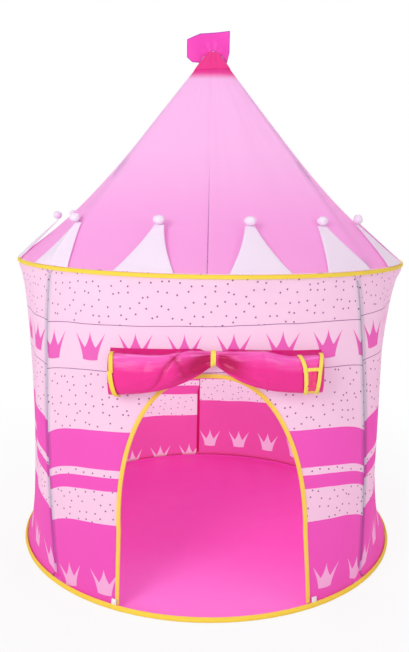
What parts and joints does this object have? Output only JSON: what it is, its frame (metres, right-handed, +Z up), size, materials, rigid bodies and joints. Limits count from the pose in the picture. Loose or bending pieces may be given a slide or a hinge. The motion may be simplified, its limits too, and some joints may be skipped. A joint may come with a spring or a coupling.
{
  "type": "play tent",
  "caption": "Round pop-up castle play tent: hooped cloth walls with an arched door and side windows, pointed roof on poles, leaning merlons, sewn floor, rolled door flap and a top pennant.",
  "frame": {"origin": "middle of the round floor, on the ground", "axes": "+Z up the tent's axis to the roof's tip; the door faces -Y, with +X to the right of someone looking at it"},
  "size_m": [1.057, 1.0822, 1.405],
  "materials": {
    "wall_cloth": "thin printed polyester, pale pink with magenta bands",
    "roof_cloth": "thin pink polyester taffeta",
    "floor_cloth": "coated polyester, strong pink",
    "merlon_cloth": "near-white pink padded polyester",
    "satin_cloth": "magenta polyester with a satin sheen",
    "flag_cloth": "magenta polyester",
    "yellow_tape": "woven yellow binding tape",
    "seam_tape": "pale sheer tape over the wires",
    "spring_steel": "spring steel wire",
    "fibreglass": "off-white pultruded fibreglass rod",
    "ferrule_steel": "bright plated steel tube",
    "foot_rubber": "black rubber cap",
    "pocket_cloth": "black webbing",
    "hub_plastic": "black moulded plastic"
  },
  "bodies": {
    "tent": {"front_wall": "wall_cloth", "right_wall": "wall_cloth", "back_wall": "wall_cloth", "left_wall": "wall_cloth", "front_hoop": "spring_steel", "right_hoop": "spring_steel", "back_hoop": "spring_steel", "left_hoop": "spring_steel", "front_left_seam_tape": "seam_tape", "front_right_seam_tape": "seam_tape", "back_right_seam_tape": "seam_tape", "back_left_seam_tape": "seam_tape", "base_binding": "yellow_tape", "eave_binding": "yellow_tape", "floor_sheet": "floor_cloth", "door_binding": "yellow_tape", "right_window_binding": "yellow_tape", "left_window_binding": "yellow_tape", "front_right_roof_gore": "roof_cloth", "back_right_roof_gore": "roof_cloth", "back_left_roof_gore": "roof_cloth", "front_left_roof_gore": "roof_cloth", "apex_cap": "satin_cloth", "top_flag": "flag_cloth", "merlon_01": "merlon_cloth", "merlon_02": "merlon_cloth", "merlon_03": "merlon_cloth", "merlon_04": "merlon_cloth", "merlon_05": "merlon_cloth", "merlon_06": "merlon_cloth", "merlon_07": "merlon_cloth", "merlon_08": "merlon_cloth", "merlon_09": "merlon_cloth", "merlon_10": "merlon_cloth", "merlon_11": "merlon_cloth", "merlon_12": "merlon_cloth", "front_right_lower_pole": "fibreglass", "front_right_upper_pole": "fibreglass", "front_right_ferrule": "ferrule_steel", "front_right_pole_foot": "foot_rubber", "front_right_pole_pocket": "pocket_cloth", "back_right_lower_pole": "fibreglass", "back_right_upper_pole": "fibreglass", "back_right_ferrule": "ferrule_steel", "back_right_pole_foot": "foot_rubber", "back_right_pole_pocket": "pocket_cloth", "back_left_lower_pole": "fibreglass", "back_left_upper_pole": "fibreglass", "back_left_ferrule": "ferrule_steel", "back_left_pole_foot": "foot_rubber", "back_left_pole_pocket": "pocket_cloth", "front_left_lower_pole": "fibreglass", "front_left_upper_pole": "fibreglass", "front_left_ferrule": "ferrule_steel", "front_left_pole_foot": "foot_rubber", "front_left_pole_pocket": "pocket_cloth", "pole_hub": "hub_plastic"},
    "door": {"door_roll": "satin_cloth", "door_tie": "yellow_tape", "roll_trim": "yellow_tape"}
  },
  "joints": [
    {"name": "door_lift", "type": "hinge", "parent": "tent", "child": "door", "pos_m": [0.012, -0.5076, 0.642], "axis": [-1, 0, 0], "range_deg": [0, 60]}
  ]
}
